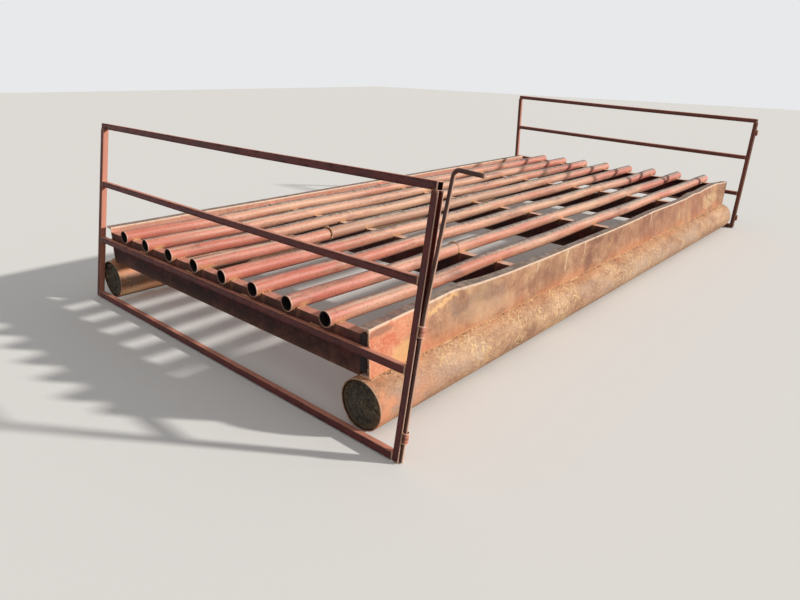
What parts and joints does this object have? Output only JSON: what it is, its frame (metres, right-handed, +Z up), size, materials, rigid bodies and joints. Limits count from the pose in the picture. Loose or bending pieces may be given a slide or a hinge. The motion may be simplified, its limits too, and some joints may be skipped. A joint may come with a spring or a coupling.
{
  "type": "cattle grid",
  "caption": "Used steel cattle grid: pipe rails across channel beams on two skid pipes, with a leaning guard frame at each end and a loose drop pin.",
  "frame": {"origin": "on level ground under the middle of the whole part's box", "axes": "+X along the rail pipes, towards the end without the drop pin; +Y across the rails, away from the drop pin; +Z up"},
  "size_m": [5.9226, 3.2638, 1.2961],
  "materials": {
    "rail_paint": "weathered red oxide paint",
    "beam_rust": "rust with the remains of red paint",
    "skid_rust": "ochre rust",
    "guard_paint": "dull dark red oxide paint",
    "pin_steel": "dark rusted steel",
    "soil": "dry packed soil"
  },
  "bodies": {
    "grid": {"rail_pipe_1": "rail_paint", "rail_pipe_2": "rail_paint", "rail_pipe_3": "rail_paint", "rail_pipe_4": "rail_paint", "rail_pipe_5": "rail_paint", "rail_pipe_6": "rail_paint", "rail_pipe_7": "rail_paint", "rail_pipe_8": "rail_paint", "side_beam_right": "beam_rust", "side_beam_left": "beam_rust", "cross_beam_1": "beam_rust", "cross_beam_2": "beam_rust", "cross_beam_3": "beam_rust", "cross_beam_4": "beam_rust", "cross_beam_5": "beam_rust", "skid_pipe_right": "skid_rust", "skid_pipe_left": "skid_rust", "soil_plug_right_a": "soil", "soil_plug_left_a": "soil", "soil_plug_right_b": "soil", "soil_plug_left_b": "soil", "guard_a_post_right": "guard_paint", "guard_a_post_left": "guard_paint", "guard_a_rail_foot": "guard_paint", "guard_a_rail_low": "guard_paint", "guard_a_rail_mid": "guard_paint", "guard_a_rail_top": "guard_paint", "sleeve_a_upper": "guard_paint", "sleeve_a_lower": "guard_paint", "guard_b_post_right": "guard_paint", "guard_b_post_left": "guard_paint", "guard_b_rail_foot": "guard_paint", "guard_b_rail_low": "guard_paint", "guard_b_rail_mid": "guard_paint", "guard_b_rail_top": "guard_paint", "sleeve_b_upper": "guard_paint", "sleeve_b_lower": "guard_paint"},
    "drop_pin": {"drop_pin": "pin_steel"}
  },
  "joints": [
    {"name": "pin_lift", "type": "slide", "parent": "grid", "child": "drop_pin", "axis": [0.1736, -0.012, 0.9847], "range_m": [0, 0.55]}
  ]
}
